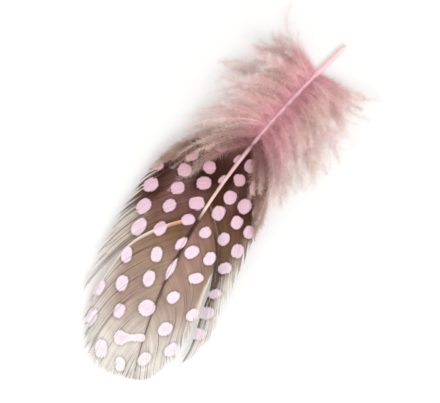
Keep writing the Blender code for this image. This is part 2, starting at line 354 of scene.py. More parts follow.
# The hairs are longest about halfway along their barb, and at least this share of that elsewhere.
SHORTEST_BARBULE = 0.40
BARBULES_SWELL = (0.12, 0.85)
BARBULE_LENGTH = 2.4 * MM
BARBULE_LENGTHS = (0.5, 1.15)
BARBULE_WIDTH = 0.040 * MM
BARBULE_TAPER = 0.8
BARBULE_ROLL = 0.8
BARBULE_LEAN = (30, 80)
BARBULE_BEND = (0.2, 1.4)
# Each barb of down has a strip of the UV map, with the stem at the left and a cell for each hair beside it.
STEM_LEFT = 0.03
STEM_WIDE = 0.09
HAIR_CELL_U = np.array([0.18, 0.18, 0.55, 0.55, 0.92])
HAIR_CELL_V = np.array([0.15, 0.85, 0.85, 0.15, 0.5])
# For its colour, a hair's five points count as this much further out along its barb.
HAIR_REACH = np.array([0, 0, 0.06, 0.06, 0.12])
# The tone of the stems, which are lighter than the hairs.
STEM_TONE = 0.6
STEM_TONE_UNEVEN = 0.8

# The floor, the light and the camera. The paper glows a little, so that it is white in the feather's gaps.
FLOOR_HALF = 0.6
PAPER_GLOW = 0.24
ROOM_LIGHT = 0.80
LAMP_SIZE = 0.30
LAMP_WATTS = 1.45
LAMP_AT = (-0.28, 0.30, 0.45)
LAMP_AIMS_AT = (0.0, 0.045, 0.0)
CAMERA_AT = (0.0045, 0.0455, 0.305)
CAMERA_TURN = math.radians(180 + 32.6)
LENS = 100
SENSOR_WIDTH = 36


def smooth(value):
    """0 below 0, 1 above 1, and a soft S between."""
    x = np.clip(value, 0.0, 1.0)
    return x * x * (3 - 2 * x)


def grow(value, start, over):
    """0 up to the start, 1 once the value is that far past it, and a soft S between."""
    return smooth((value - start) / over)


def wobble(index, turn):
    """A fixed, uneven value from -1 to 1 for a numbered piece."""
    return 2 * ((index * GOLDEN + turn * 0.377) % 1.0) - 1


def bezier(p0, p1, p2, p3, t):
    return (1 - t) ** 3 * p0 + 3 * (1 - t) ** 2 * t * p1 + 3 * (1 - t) * t**2 * p2 + t**3 * p3


def srgb(red, green, blue):
    """A colour given as it looks on a screen, from 0 to 255, as the linear colour that a shader takes."""
    value = np.array([red, green, blue]) / 255
    linear = np.where(value <= 0.04045, value / 12.92, ((value + 0.055) / 1.055) ** 2.4)
    return (*linear.tolist(), 1.0)


def heading(along):
    return FIRST_HEADING + TURN_PER_METRE * along + TURN_GAIN * along**2


def walk_the_shaft():
    """Samples of the shaft's line from above, as (along, x, y), with the origin at ORIGIN_AT."""
    along = np.linspace(-0.1 * LENGTH, 1.2 * LENGTH, 1301)
    middle = (along[1:] + along[:-1]) / 2
    step = along[1] - along[0]
    x = np.concatenate([[0], np.cumsum(-np.sin(heading(middle)) * step)])
    y = np.concatenate([[0], np.cumsum(np.cos(heading(middle)) * step)])
    x -= np.interp(ORIGIN_AT, along, x)
    y -= np.interp(ORIGIN_AT, along, y)
    return along, x, y


SHAFT_LINE = walk_the_shaft()


def place(along, out, height):
    """The points in space for places on the feather, given as arrays."""
    stations, xs, ys = SHAFT_LINE
    turn = heading(along)
    x = np.interp(along, stations, xs) - out * np.cos(turn)
    y = np.interp(along, stations, ys) - out * np.sin(turn)
    return np.stack(np.broadcast_arrays(x, y, height), axis=-1)


def shaft_radius(along):
    return np.interp(along, RADIUS_AT, RADIUS)


def shaft_height(along):
    share = np.clip((along - ARCH_FROM) / (LENGTH - ARCH_FROM), 0.0, 1.0)
    line = QUILL_HEIGHT + (TIP_HEIGHT - QUILL_HEIGHT) * share
    return line + ARCH_HEIGHT * np.sin(np.pi * share**ARCH_SKEW)


def half_width(vane, along):
    ahead = np.clip((along - vane.widest_at) / (LENGTH - vane.widest_at), 0.0, 1.0)
    behind = np.clip((vane.widest_at - along) / vane.back, 0.0, 1.0)
    front = (1 - ahead**vane.bluntness) ** (1 / vane.bluntness)
    return vane.width * front * np.sqrt(1 - behind**2)


def margin(vane, share):
    """The place (along, out) at a share of the margin's own length, from its start to the tip."""
    sweep = np.linspace(0, 1, MARGIN_SAMPLES)
    along = MARGIN_FROM + (LENGTH - MARGIN_FROM) * np.sin(sweep * math.pi / 2)
    out = half_width(vane, along)
    steps = np.hypot(np.diff(along), np.diff(out))
    travelled = np.concatenate([[0], np.cumsum(steps)])
    wanted = share * travelled[-1]
    return np.interp(wanted, travelled, along), np.interp(wanted, travelled, out)


def barb_place(vane, share, t):
    """The place (along, out) on one barb: share is which barb, t runs from the shaft to the margin."""
    root = FIRST_BARB + (LAST_BARB - FIRST_BARB) * share
    end_along, end_out = margin(vane, share * (1 + END_SPACING_GAIN * (1 - share)))
    reach = np.hypot(end_along - root, end_out)
    near_tip = smooth((share - CLOSES_UP_FROM) / (1 - CLOSES_UP_FROM))
    leave = np.radians(LEAVE_DEGREES + (LEAVE_DEGREES_AT_TIP - LEAVE_DEGREES) * near_tip)
    arrive = np.radians(ARRIVE_DEGREES + (ARRIVE_DEGREES_AT_TIP - ARRIVE_DEGREES) * near_tip)
    first = root + reach / 3 * np.cos(leave), reach / 3 * np.sin(leave)
    second = end_along - reach / 3 * np.cos(arrive), end_out - reach / 3 * np.sin(arrive)
    along = bezier(root, first[0], second[0], end_along, t)
    out = bezier(0.0, first[1], second[1], end_out, t)
    return along, out


def split_shift(splits, share, t):
    """How far the open splits push a barb towards the tip, and how far they draw it out along the shaft."""
    push = 0.0
    draw = 0.0
    for split in splits:
        away = share - split.share
        tip_side = away > 0
        opening = smooth((t - split.start) / (1 - split.start))
        fading = np.exp(-np.abs(away) / np.where(tip_side, split.spread, QUILL_SIDE_SPREAD))
        push = push + split.width * opening * fading * np.where(tip_side, TIP_SIDE_PUSH, TIP_SIDE_PUSH - 1)
        draw = draw + split.drawn * opening * fading * np.where(tip_side, 0.0, 1.0)
    return push * smooth((1 - share) / PUSH_FADES_OVER), draw


def vane_place(vane, splits, share, t):
    """The place (along, out) on a barb with the splits open. Each one pushes it square to its own run."""
    along, out = barb_place(vane, share, t)
    next_along, next_out = barb_place(vane, share, t + 0.01)
    way = np.arctan2(next_out - out, next_along - along)
    push, draw = split_shift(splits, share, t)
    return along + push * np.sin(way) + draw, out - push * np.cos(way)


def vane_height(vane, along, out):
    edge = np.clip(out / vane.width, 0.0, 1.2)
    return TIP_HEIGHT + (shaft_height(along) - TIP_HEIGHT) * (1 - vane.droop * edge**2)


def all_spots():
    """Every oval spot as (along, out, half length, half width, turn, roundness), with left positive."""
    rng = np.random.default_rng(SEEDS["spots"])
    found = []
    for sign, places in ((1, SPOTS_LEFT), (-1, SPOTS_RIGHT)):
        for along, out in places:
            size = SPOT_RADIUS * (1 + SPOT_SIZE_UNEVEN * rng.standard_normal())
            far = grow(along, *SPOT_CHANGES)
            stretch = SPOT_STRETCH + SPOT_STRETCH_UNEVEN * rng.random() + SPOT_STRETCH_FURTHER * far
            turn = SPOT_TURN[sign] + (SPOT_TURN_AT_TIP[sign] - SPOT_TURN[sign]) * far
            turn += SPOT_TURN_UNEVEN * rng.standard_normal()
            nudge = SPOT_NUDGE * rng.standard_normal(2)
            centre = along * MM + nudge[0], sign * out * MM + nudge[1]
            half_sizes = size * stretch, size / stretch**SPOT_NARROWING
            found.append((*centre, *half_sizes, turn, SPOT_ROUNDNESS))
    for along, out, long_half, wide_half, degrees, roundness in ODD_SPOTS:
        half_sizes = long_half * MM, wide_half * MM
        found.append((along * MM, out * MM, *half_sizes, math.radians(degrees), roundness))
    return found


def spot_distance(spots, along, out):
    """How far places are from the nearest spot's edge, in mm: negative inside a spot."""
    nearest = merged_distance(along, out)
    for centre_along, centre_out, long_half, wide_half, turn, roundness in spots:
        ahead = along - centre_along
        aside = out - centre_out
        run = (ahead * math.cos(turn) + aside * math.sin(turn)) / long_half
        across = (aside * math.cos(turn) - ahead * math.sin(turn)) / wide_half
        middle_away = (np.abs(run) ** roundness + np.abs(across) ** roundness) ** (1 / roundness)
        nearest = np.minimum(nearest, (middle_away - 1) * wide_half / MM)
    return nearest


def merged_distance(along, out):
    """The same for the bone-shaped spot: two rounds with a narrow waist between them."""
    first = np.array(MERGED_FROM)
    line = np.array(MERGED_TO) - first
    ahead = along / MM - first[0]
    aside = out / MM - first[1]
    share = np.clip((ahead * line[0] + aside * line[1]) / (line @ line), 0, 1)
    radius = MERGED_RADII[0] + (MERGED_RADII[1] - MERGED_RADII[0]) * share
    radius *= 1 - MERGED_WAIST * np.sin(np.pi * share) ** MERGED_WAIST_SHARPNESS
    return np.hypot(ahead - share * line[0], aside - share * line[1]) - radius


def uneven(rng, rows, columns, shape):
    """A soft uneven field of about -1 to 1 over barbs and their lengths."""
    coarse = rng.normal(0, 0.5, (rows, columns))
    at_row = np.linspace(0, rows - 1, shape[0])
    at_column = np.linspace(0, columns - 1, shape[1])
    by_row = np.array([np.interp(at_row, np.arange(rows), column) for column in coarse.T])
    return np.array([np.interp(at_column, np.arange(columns), row) for row in by_row.T])


def unit(vectors):
    return vectors / np.maximum(np.linalg.norm(vectors, axis=-1, keepdims=True), 1e-12)


def across_vector(centre):
    """A level unit vector to the right of each ribbon's run."""
    return unit(np.cross(np.gradient(centre, axis=1), UP))


def new_object(name, data):
    """A new object in the scene."""
    made = bpy.data.objects.new(name, data)
    bpy.context.scene.collection.objects.link(made)
    return made


def mesh_object(name, points, faces, uvs, values, material):
    """An object from points, faces, and a UV and named values for each point."""
    mesh = bpy.data.meshes.new(name)
    mesh.from_pydata(points.tolist(), [], faces)
    layer = mesh.uv_layers.new(name="OFBake")
    corners = np.empty(len(mesh.loops), np.int32)
    mesh.loops.foreach_get("vertex_index", corners)
    layer.data.foreach_set("uv", uvs[corners].astype(np.float32).ravel())
    for key, value in values.items():
        attribute = mesh.attributes.new(key, "FLOAT", "POINT")
        attribute.data.foreach_set("value", value.astype(np.float32).ravel())
    mesh.shade_smooth()
    mesh.materials.append(material)
    return new_object(name, mesh)


def faces_of(index):
    """The faces of grids of points, four corners each, from the points' numbers (..., rows, columns)."""
    corners = index[..., :-1, :-1], index[..., :-1, 1:], index[..., 1:, 1:], index[..., 1:, :-1]
    return np.stack(corners, axis=-1).reshape(-1, 4).tolist()


def ribbons(name, centre, half, lift, values, material):
    """A mesh of ribbons three points wide, from their middle lines, half widths and raised middles."""
    count, steps = centre.shape[:2]
    side = across_vector(centre) * half[..., None]
    raised = centre + lift[..., None] * UP
    points = np.stack([centre - side, raised, centre + side], axis=2).reshape(-1, 3)
    faces = faces_of(np.arange(count * steps * 3).reshape(count, steps, 3))
    ribbon, step, across = np.indices((count, steps, 3))
    u = (ribbon + RIBBON_LEFT + RIBBON_HALF * across) / count
    v = RIBBON_LOW + RIBBON_LONG * step / (steps - 1)
    uvs = np.stack([u, v], axis=-1).reshape(-1, 2)
    spread = {key: np.repeat(value[..., None], 3, axis=2) for key, value in values.items()}
    spread["across"] = across / 2.0
    return mesh_object(name, points, faces, uvs, spread, material)


def barb_shares(side, rng):
    """Which barbs a vane has: a column of shares."""
    even = (np.arange(BARBS) + 0.5 + rng.uniform(-BARBS_UNEVEN, BARBS_UNEVEN, BARBS)) / BARBS
    low, high, more = MORE_BARBS[side]
    return np.sort(np.concatenate([even, rng.uniform(low, high, more)]))[:, None]


def tufts(share, t, splits, ragged, rng):
    """The barbs' shares as they gather into tufts towards the margin, their ends, and the tufts' tones."""
    count = len(share)
    sizes = rng.integers(*TUFT_BARBS, count)
    tuft = np.repeat(np.arange(count), sizes)[:count]
    # No tuft reaches across a wide split, or its barbs would close it again.
    for split in splits:
        if split.drawn:
            tuft = tuft + count * (share[:, 0] > split.share)
    tuft = np.unique(tuft, return_inverse=True)[1]
    middle = np.array([share[tuft == number].mean() for number in range(tuft[-1] + 1)])[tuft][:, None]

    def one_a_tuft(low, high):
        return rng.uniform(low, high, count)[tuft][:, None]

    gathers = one_a_tuft(*TUFT_GATHERS) * ragged
    start = one_a_tuft(*TUFT_FROM)
    gathering = grow(t, start, 1 - start)
    ends = TUFT_ENDS_UNEVEN * one_a_tuft(-0.8, 1.0)
    ends = 1 + ragged * (ends + OWN_END_UNEVEN * rng.uniform(-1.2, 1, (count, 1)))
    tone = one_a_tuft(-1, 1) * gathering
    return share + (middle - share) * gathers * gathering, ends, tone


def barb_spacing(along, out):
    """How far each barb is from its neighbours, square to its run."""
    step_b = np.gradient(along, axis=0), np.gradient(out, axis=0)
    step_t = np.gradient(along, axis=1), np.gradient(out, axis=1)
    crossed = np.abs(step_b[0] * step_t[1] - step_b[1] * step_t[0])
    return crossed / np.maximum(np.hypot(*step_t), 1e-9)


class Barbs(NamedTuple):
    """A vane's barbs as arrays with a row for each: which barb, how far along it, and where that is.

    Closed is where a barb was before the vane came unzipped, and even is where it is since, had it not gone
    into a tuft, both as (along, out). Wisp is how far it is drawn out, and beside_split how close it is to
    the wide split on its quill's side, both from 0 to 1.
    """

    share: np.ndarray
    t: np.ndarray
    t_own: np.ndarray
    closed: tuple
    even: tuple
    wisp: np.ndarray
    beside_split: np.ndarray
    tuft_tone: np.ndarray


def within_outline(vane, along, out, barbs, rng):
    """How far out the barbs are, with the wisps held inside the outline that the vane had."""
    inset = WISP_INSET * barbs.wisp * smooth((1 - barbs.t) / INSET_ENDS_OVER)
    limit = half_width(vane, np.minimum(along, LENGTH)) * (1 - inset)
    limit += OUTLINE_SLACK * rng.uniform(-0.5, 1, barbs.share.shape)
    return np.where(barbs.wisp > LEAST_WISP, np.minimum(out, np.maximum(limit, LEAST_OUTLINE)), out)


def barb_widths(barbs, rng):
    """How free of its neighbours each barb is, from 0 to 1, and half its ribbon's width."""
    spacing = barb_spacing(*barbs.closed)
    spacing += (barb_spacing(*barbs.even) - spacing) * barbs.wisp
    free_from = FREE_FROM + (FREE_FROM_AT_TIP - FREE_FROM) * grow(barbs.share, *FREE_LATER_TO_TIP)
    free_from += (FREE_FROM_ON_WISPS - free_from) * barbs.wisp.max(axis=1, keepdims=True)
    free_from += FREE_UNEVEN * rng.uniform(-1, 1, barbs.share.shape)
    free_from += FREE_LATER_BY_SPLIT * barbs.beside_split
    free = grow(barbs.t, free_from, 1 - free_from)
    widest = WIDEST_RIBBON + (WIDEST_ON_WISPS - WIDEST_RIBBON) * barbs.wisp
    zipped = np.minimum(spacing * COVER, widest) / 2
    return free, np.maximum(zipped * (1 - free) ** NARROWING, HAIR_WIDTH / 2 * (HAIR_TAPER - barbs.t))


def darkness(side, barbs, rng):
    """How dark single barbs, wisps and the lips of splits are, and where the wisps' ends pale. The dark
    single barbs and the lips are painted shade.
    """
    # Painted shade: single barbs darkened as the shadowed cracks and overlaps between barbs.
    shaded_single = rng.random(barbs.share.shape) < SHADED_BARB_SHARE
    dark = shaded_single * grow(barbs.t, *SHADED_BARB_STARTS) * SHADED_BARB
    wisp_end = grow(barbs.t, *WISP_END_PALES) * barbs.wisp
    # The lips of a wide split are darkened with painted shadow, the shade in its opening crack.
    band = SHADOWED_LIPS[side]
    short_of_split = band.share - barbs.share
    lip_shadow = (short_of_split > 0) * np.exp(-((short_of_split / band.over) ** 2)) * grow(barbs.t, *LIP_SHADOW_STARTS)
    lip_shadow = band.amount * lip_shadow * (1 - grow(barbs.t, *LIP_SHADOW_ENDS))
    return dark + WISP_DARK * (barbs.wisp - wisp_end) + lip_shadow, wisp_end


def vane_values(side, spots, barbs, rng):
    """What the vane's material is told at each place along the barbs."""
    one_each = barbs.share.shape
    every_place = barbs.t_own.shape
    closed_along, closed_out = barbs.closed
    even_along, even_out = barbs.even
    stepped = even_along + SPOT_STEPS * rng.uniform(-1, 1, one_each)
    spot = spot_distance(spots, stepped, VANES[side].sign * even_out)
    spot += SPOT_EDGE_UNEVEN * uneven(rng, *SPOT_EDGE_PATCHES, every_place)
    reach = DARK_ROOTS * (1 + DARK_ROOTS_UNEVEN * uneven(rng, *ROOT_PATCHES, every_place))
    beside_shaft = np.exp(-((even_out / reach) ** 2)) * grow(even_along, *DARK_ROOTS_START)
    beside_shaft *= 1 - DARK_ROOTS_FADE * grow(even_along, *DARK_ROOTS_FADE_FROM)
    dark, wisp_end = darkness(side, barbs, rng)
    pale_hair = np.where(rng.random(one_each) < PALE_HAIR_SHARE, 1.0, LEAST_PALE)
    thins_from = THINS_FROM[side] + THINS_LATER_AT_BASE * (1 - grow(barbs.share, *BASE_ENDS))
    thin = grow(barbs.t, thins_from, THINS_OVER) * pale_hair * (1 - WISP_LESS_PALE * barbs.wisp)
    one_barb = BARB_TONE * rng.uniform(-1, 1, one_each) + TUFT_TONE * barbs.tuft_tone
    patches = PATCH_TONE * uneven(rng, *TONE_PATCHES, every_place)
    earlier = PALES_EARLIER[side] * (1 - grow(closed_along, *PALES_EARLIER_ENDS))
    return {
        "spot": spot,
        "along": (closed_along - DARKER_FURTHER_OUT[side] * closed_out) / LENGTH + earlier,
        "run": barbs.t_own * RUN_PER_BARB,
        "thin": np.maximum(thin, wisp_end),
        "bare": barbs.beside_split * grow(barbs.t, BARE_BARBS[side].amount, BARE_OVER),
        # The tone has the painted shade of the dark single barbs and the split lips taken off it.
        "tone": 0.5 + one_barb + patches - dark - DARK_ROOT * beside_shaft,
        "rose": 0.5 + 0.5 * uneven(rng, *ROSE_PATCHES, every_place),
    }


def make_vane(side, spots, material):
    """All the barbs of one vane."""
    vane = VANES[side]
    splits = SPLITS[side]
    rng = np.random.default_rng(SEEDS[side])
    share = barb_shares(side, rng)
    t = np.linspace(0, 1, BARB_STEPS)[None, :]
    ragged = 1 - EVEN_AT_TIP * grow(share, *EVEN_TO_TIP)
    gathered, ends, tuft_tone = tufts(share, t, splits, ragged, rng)
    drawn_at_end = split_shift(splits, share, 1.0)[1]
    ends = np.where(drawn_at_end > FULLY_DRAWN, np.maximum(ends, 1.0), ends)
    t_own = t * ends
    closed = barb_place(vane, share, t_own)
    even = vane_place(vane, splits, share + 0 * t, t_own)
    wisp = np.clip(split_shift(splits, share, t_own)[1] / FULLY_DRAWN, 0, 1)
    past_split = share - BARE_BARBS[side].share
    beside_split = (past_split > 0) * np.exp(-((past_split / BARE_BARBS[side].over) ** 4))
    barbs = Barbs(share, t, t_own, closed, even, wisp, beside_split, tuft_tone)

    along, out = vane_place(vane, splits, gathered, t_own)
    out = within_outline(vane, along, out, barbs, rng)
    free, half = barb_widths(barbs, rng)
    height = vane_height(vane, along, out)
    height += BARB_HEIGHTS * rng.standard_normal(share.shape) * smooth(t / BARB_ROOT_END)
    height += free * ragged * FREE_HEIGHTS * rng.uniform(-1, 1, share.shape)
    centre = place(along, vane.sign * out, np.maximum(height, ABOVE_SURFACE))
    lift = RIDGE_LIFT * (1 - FLATTER_WHEN_FREE * free)
    values = vane_values(side, spots, barbs, rng)
    return ribbons(f"vane_{side}", centre, half, lift, values, material)


def make_shaft(spots):
    """The quill, open at its cut end, and the tapering shaft with a groove along its underside."""
    whole = [(at, 1.0) for at in (*QUILL_RIM, *np.linspace(QUILL_WALL, SHAFT_END, SHAFT_RINGS))]
    rings = np.array([*QUILL_HOLE, *whole, (SHAFT_END + SHAFT_POINT, 0.1)])
    along = rings[:, :1]
    turns = np.arange(SHAFT_SIDES + 1) * 2 * math.pi / SHAFT_SIDES - math.pi / 2
    from_below = np.minimum(turns + math.pi / 2, 1.5 * math.pi - turns)
    groove = GROOVE_DEPTH * np.exp(-((from_below / GROOVE_WIDTH) ** 2)) * grow(along, *GROOVE_STARTS)
    radius = shaft_radius(along) * rings[:, 1:] * (1 + SHAFT_SQUARE * np.cos(4 * turns)) * (1 - groove)
    height = np.maximum(shaft_height(along) + radius * np.sin(turns), 0.0)
    points = place(along + 0 * turns, radius * np.cos(turns), height)
    count, around = points.shape[:2]
    faces = faces_of(np.arange(count * around).reshape(count, around))
    ring, turn = np.indices((count, around))
    uvs = np.stack([turn / (around - 1), ring / (count - 1)], axis=-1).reshape(-1, 2)
    uvs = SHAFT_UV_EDGE + (1 - 2 * SHAFT_UV_EDGE) * uvs
    side = radius * np.cos(turns)
    # The spots are on the upper side only.
    below = np.where(np.sin(turns) > SPOTS_DOWN_TO, 0.0, NO_SPOT)
    values = {
        "along": np.repeat(along / LENGTH, around, axis=1),
        "spot": spot_distance(spots, along + 0 * side, side) + below,
    }
    return mesh_object("shaft", points.reshape(-1, 3), faces, uvs, values, shaft_material())


def lock_course(number, sign, t):
    """The middle line of one of the solid's locks of down, as places (along, out, height)."""
    share = number / (LOCKS_PER_SIDE - 1)
    root = FIRST_LOCK + (LAST_LOCK - FIRST_LOCK) * share
    turn = 0 if sign > 0 else 5
    rise, tip_height, shorter = TIERS[number % len(TIERS)]
    reach = (LOCK_REACH + LOCK_REACH_GAIN * math.sin(math.pi * share)) * shorter
    reach *= 1 + 0.12 * wobble(number, turn + 1)
    forward = (2.5 + 11.0 * share + 1.8 * wobble(number, turn + 2)) * MM
    top = shaft_height(root) + rise + 0.6 * MM * wobble(number, turn + 3)
    end = LOCK_LOWEST + tip_height * (1 + 0.2 * wobble(number, turn + 4))
    along = bezier(root, root + 0.05 * forward, root + 0.50 * forward, root + forward, t)
    out = bezier(0.0, 0.35 * reach, 0.80 * reach, reach, t)
    height = bezier(shaft_height(root), top, (top + end) / 2, end, t)
    return along, sign * out, np.maximum(height, LOCK_LOWEST)


def afterfeather_course(number, sign, t):
    """The middle line of one lock of the afterfeather, which fans out flat under the down."""
    fan = (number + 0.5) / AFTERFEATHER_LOCKS
    angle = math.radians(8 + 66 * fan)
    length = AFTERFEATHER_LENGTH * (1 - 0.22 * fan) * (1 + 0.07 * wobble(number, 3 + sign))
    root = FIRST_LOCK + 1.0 * MM * (1 - fan)
    bend = math.radians(10) * (1 - t)
    along = root + length * t * np.cos(angle + bend)
    out = length * t * np.sin(angle + bend)
    height = bezier(shaft_height(root), shaft_height(root) * 0.8, LOCK_LOWEST, LOCK_LOWEST, t)
    return along, sign * out, height


def vane_base_course(number, sign, t):
    """The line of a loose barb at the vane's base, which is between vane and down."""
    vane = VANES["left" if sign > 0 else "right"]
    share = BASE_TUFTS_TO * (number / BASE_TUFTS) ** BASE_TUFTS_CROWD
    along, out = barb_place(vane, share, 0.02 + 0.98 * t)
    lift = (BASE_LIFT - BASE_LIFT_FALLS * share / BASE_TUFTS_TO) * MM * smooth(5 * t)
    return along, sign * out, vane_height(vane, along, out) + lift


def brownness(course, number):
    """From 0 for a barb of pink down to 1 for a loose barb at the vane's base."""
    if course is vane_base_course:
        return 1.0
    if course is afterfeather_course:
        return 0.0
    return BROWNEST_LOCK * float(grow(number / LOCKS_PER_SIDE, *BROWN_FROM))


def down_barbs(courses, rng):
    """The down's barbs as points of their middle lines (barbs, steps, 3): a loose tuft along each lock."""
    t = np.linspace(0, 1, DOWN_STEPS)
    lines = []
    for course, number, sign in courses:
        for _ in range(DOWN_BARBS_PER_LOCK):
            own = t * rng.uniform(*DOWN_LENGTHS)
            along, out, height = course(number, sign, own)
            loose = BASE_LOOSE if course is vane_base_course else 1.0
            stray = loose * np.clip(rng.normal(0, 1, 3), -STRAYS_LIMIT, STRAYS_LIMIT) * STRAYS
            wave = loose * rng.uniform(*WAVE)
            wave *= np.sin(own * rng.uniform(*WAVE_TURNS) + rng.uniform(*WAVE_STARTS))
            curl = loose * CURL * float(np.clip(rng.normal(0, 1), -CURL_LIMIT, CURL_LIMIT)) * own**3
            back = 0.0
            if course is lock_course:
                back = SPREADS_BACK * max(0, 1 - number / SPREADING_LOCKS) * rng.uniform(*SPREADS_UNEVEN)
            along = along + stray[0] * own + wave * own + curl - back * own**1.5
            out = out + stray[1] * own - CURL_INWARDS * sign * np.abs(curl)
            height += stray[2] * own + WAVE_UP * wave * own
            lines.append(place(along, out, np.maximum(height, DOWN_LOWEST)))
    return np.array(lines)


def barbules(lines, rng):
    """Fine side hairs along each barb: their points (barbs, hairs, 5, 3), each a bent, tapering strip."""
    count, steps = lines.shape[:2]
    shape = (count, BARBULES_PER_BARB, 1)
    at = (np.arange(BARBULES_PER_BARB) + rng.uniform(0, 1, shape[:2])) / BARBULES_PER_BARB
    at = BARBULES_FROM + BARBULES_OVER * at
    station = at * (steps - 1)
    low = np.clip(station.astype(int), 0, steps - 2)
    part = (station - low)[..., None]
    row = np.arange(count)[:, None]
    base = lines[row, low] * (1 - part) + lines[row, low + 1] * part
    run = unit(lines[row, low + 1] - lines[row, low])
    right = unit(np.cross(run, UP))
    over = np.cross(right, run)
    side = np.where(np.arange(BARBULES_PER_BARB) % 2, 1.0, -1.0)[None, :, None]
    roll = rng.normal(0, BARBULE_ROLL, shape)
    aside = side * right * np.cos(roll) + over * np.sin(roll)
    lean = np.radians(rng.uniform(*BARBULE_LEAN, shape))
    first = run * np.cos(lean) + aside * np.sin(lean)
    lean *= rng.uniform(*BARBULE_BEND, shape)
    second = run * np.cos(lean) + aside * np.sin(lean)
    swell = np.sin(np.pi * (BARBULES_SWELL[0] + BARBULES_SWELL[1] * at))[..., None]
    length = BARBULE_LENGTH * (SHORTEST_BARBULE + (1 - SHORTEST_BARBULE) * swell)
    length *= rng.uniform(*BARBULE_LENGTHS, shape)
    middle = base + first * length * 0.5
    tip = middle + second * length * 0.5
    flat = rng.uniform(-1, 1, shape)
    thick = unit(np.cross(first, over * np.cos(flat) + right * np.sin(flat) * 0.9)) * BARBULE_WIDTH / 2
    thin = thick * BARBULE_TAPER
    strip = np.stack([base - thick, base + thick, middle + thin, middle - thin, tip], axis=2)
    strip[..., 2] = np.maximum(strip[..., 2], ABOVE_SURFACE)
    return strip, at


def stems(lines):
    """The stems of barbs of down: their points, faces and UVs, and how far along its barb each point is."""
    count, steps = lines.shape[:2]
    side = across_vector(lines) * (RAMUS_WIDTH / 2 * np.linspace(1, RAMUS_TAPER, steps))[None, :, None]
    points = np.stack([lines - side, lines + side], axis=2)
    faces = faces_of(np.arange(count * steps * 2).reshape(count, steps, 2))
    barb, step, edge = np.indices((count, steps, 2))
    reach = step / (steps - 1)
    uvs = np.stack([(barb + STEM_LEFT + STEM_WIDE * edge) / count, reach], axis=-1)
    return points, faces, uvs, reach


def hairs(at, first_point):
    """The faces and UVs of the side hairs, and how far along its barb each of their points counts as."""
    count, per_barb = at.shape
    first = first_point + np.arange(at.size).reshape(-1, 1) * 5
    quads = first + np.array([[0, 1, 2, 3]])
    tips = first + np.array([[3, 2, 4]])
    barb, hair, corner = np.indices((count, per_barb, 5))
    cells = (barb + HAIR_CELL_U[corner]) / count, (hair + HAIR_CELL_V[corner]) / per_barb
    reach = np.clip(at[..., None] + HAIR_REACH, 0, 1)
    return [*quads.tolist(), *tips.tolist()], np.stack(cells, axis=-1), reach


def make_down(name, courses, material):
    """A mass of down: the barbs that follow the given locks, with their fine side hairs."""
    rng = np.random.default_rng(SEEDS[name])
    lines = down_barbs(courses, rng)
    strip, at = barbules(lines, rng)
    tone = rng.uniform(0, 1, len(lines))
    brown = np.repeat([brownness(course, number) for course, number, _ in courses], DOWN_BARBS_PER_LOCK)
    stem_points, stem_faces, stem_uvs, stem_reach = stems(lines)
    hair_faces, hair_uvs, hair_reach = hairs(at, stem_reach.size)
    per_stem = stem_reach[0].size
    per_hairs = hair_reach[0].size
    stem_tone = STEM_TONE + STEM_TONE_UNEVEN * tone
    values = {
        "reach": np.concatenate([stem_reach.ravel(), hair_reach.ravel()]),
        "tone": np.concatenate([np.repeat(stem_tone, per_stem), np.repeat(tone, per_hairs)]),
        "brown": np.concatenate([np.repeat(brown, per_stem), np.repeat(brown, per_hairs)]),
    }
    points = np.concatenate([stem_points.reshape(-1, 3), strip.reshape(-1, 3)])
    uvs = np.concatenate([stem_uvs.reshape(-1, 2), hair_uvs.reshape(-1, 2)])
    return mesh_object(name, points, stem_faces + hair_faces, uvs, values, material)


# Colours along the shaft and, for the last two, along the down's barbs: at what share of the length, and
# how red, green and blue they look on a screen.
VANE_COLOURS = [
    (0.33, 122, 80, 74),
    (0.39, 72, 40, 33),
    (0.46, 54, 24, 13),
    (0.53, 84, 49, 32),
    (0.60, 131, 96, 72),
    (0.70, 166, 138, 119),
    (0.80, 182, 156, 141),
    (0.90, 225, 212, 201),
    (0.98, 243, 236, 229),
]
# The spots are duller towards the quill: painted shadow of other feathers that lay over that part.
SPOT_COLOURS = [
    (0.44, 226, 178, 189),
    (0.55, 241, 205, 221),
    (0.66, 253, 227, 240),
    (0.82, 254, 233, 243),
    (0.95, 254, 242, 244),
]
SHAFT_COLOURS = [
    (0.0, 248, 226, 222),
    (0.10, 255, 212, 221),
    (0.36, 255, 206, 212),
    (0.46, 242, 196, 184),
    (0.535, 250, 226, 208),
    (0.57, 62, 34, 25),
    (0.66, 64, 38, 29),
    (0.74, 88, 62, 50),
    (0.97, 140, 116, 100),
]
DOWN_COLOURS = [
    (0.0, 255, 204, 213),
    (0.20, 253, 192, 199),
    (0.60, 248, 205, 204),
    (1.0, 255, 245, 241),
]
VANE_BASE_COLOURS = [
    (0.0, 134, 84, 76),
    (0.45, 142, 92, 80),
    (0.80, 178, 134, 120),
    (1.0, 222, 196, 182),
]
ROSY_PATCH = srgb(214, 160, 158)
PALE_END = srgb(236, 227, 217)
BARE_ROOT = srgb(232, 172, 140)
BARE_BARB = srgb(234, 223, 203)
SPOT_MIDDLE = srgb(238, 206, 224)
SPOT_ON_SHAFT = srgb(243, 219, 231)
UNDYED_DOWN = srgb(243, 221, 209)
PAPER = srgb(222, 222, 221)
WHITE = (1, 1, 1, 1)


